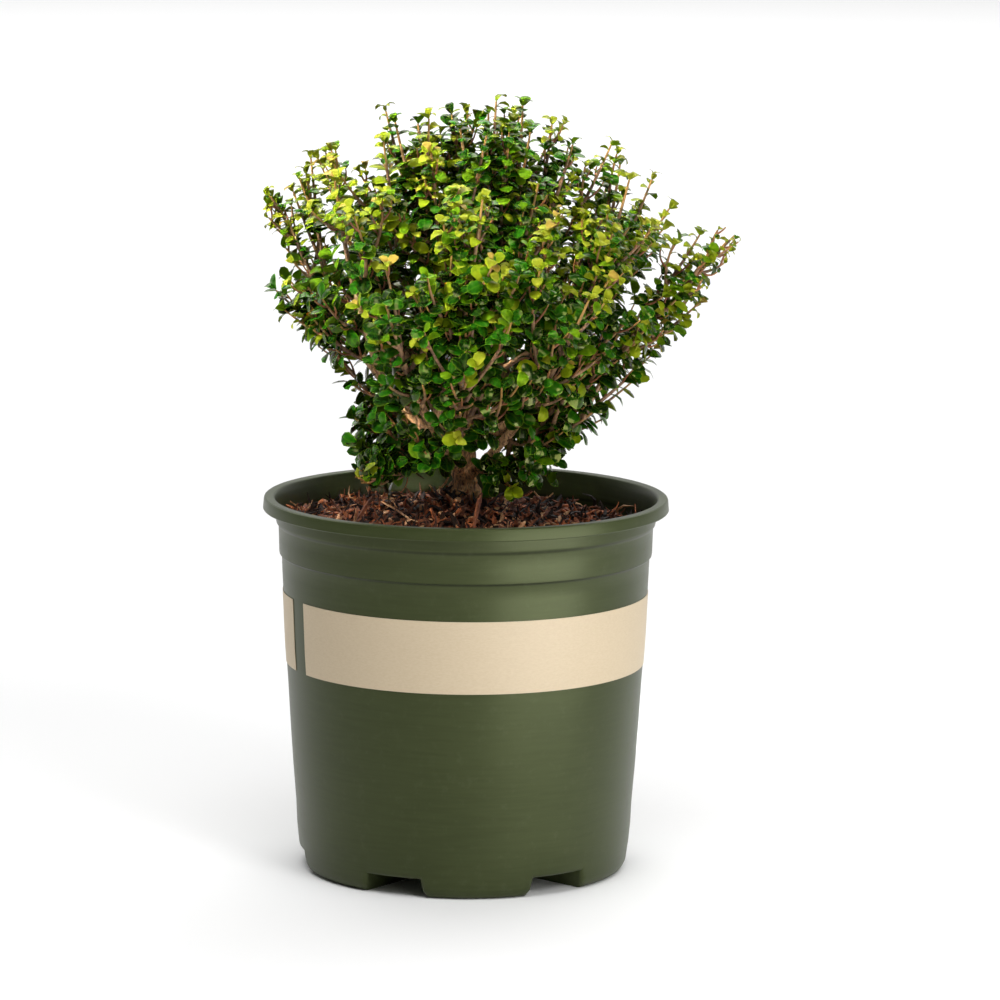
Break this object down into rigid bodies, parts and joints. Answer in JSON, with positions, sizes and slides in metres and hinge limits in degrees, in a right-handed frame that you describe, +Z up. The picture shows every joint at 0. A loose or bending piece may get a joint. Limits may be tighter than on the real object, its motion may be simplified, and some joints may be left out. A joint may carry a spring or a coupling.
{
  "type": "potted cotoneaster",
  "caption": "Small evergreen shrub with a short forked trunk and a dense vase-shaped crown, growing in bark mulch in a round olive nursery pot with feet and a plain label band.",
  "frame": {"origin": "centre of the pot's underside, on the pot's axis, in the plane its feet stand on", "axes": "+Z up along the pot's axis and the crown, -Y towards the front from which the plant is seen, +X to the viewer's right"},
  "size_m": [0.2766, 0.2416, 0.4507],
  "materials": {
    "pot_plastic": "satin olive green moulded plastic",
    "label_film": "thin matt beige film, left without print",
    "bark_mulch": "shredded red-brown bark over potting mix",
    "bark": "rough tan-brown bark",
    "leaves": "glossy green leaves on red-brown twigs"
  },
  "bodies": {
    "root": {"bough_high_1": "bark", "bough_high_2": "bark", "bough_high_3": "bark", "bough_high_4": "bark", "bough_high_5": "bark", "bough_high_6": "bark", "bough_leader": "bark", "bough_low_1": "bark", "bough_low_2": "bark", "bough_low_3": "bark", "bough_low_4": "bark", "bough_low_5": "bark", "bough_low_6": "bark", "bough_mid_1": "bark", "bough_mid_2": "bark", "bough_mid_3": "bark", "bough_mid_4": "bark", "bough_mid_5": "bark", "bough_mid_6": "bark", "bough_top_1": "bark", "bough_top_2": "bark", "foliage_high_1": "leaves", "foliage_high_2": "leaves", "foliage_high_3": "leaves", "foliage_high_4": "leaves", "foliage_high_5": "leaves", "foliage_high_6": "leaves", "foliage_leader": "leaves", "foliage_low_1": "leaves", "foliage_low_2": "leaves", "foliage_low_3": "leaves", "foliage_low_4": "leaves", "foliage_low_5": "leaves", "foliage_low_6": "leaves", "foliage_mid_1": "leaves", "foliage_mid_2": "leaves", "foliage_mid_3": "leaves", "foliage_mid_4": "leaves", "foliage_mid_5": "leaves", "foliage_mid_6": "leaves", "foliage_top_1": "leaves", "foliage_top_2": "leaves", "label_band": "label_film", "pot": "pot_plastic", "potting_mix": "bark_mulch", "trunk": "bark"}
  },
  "joints": []
}
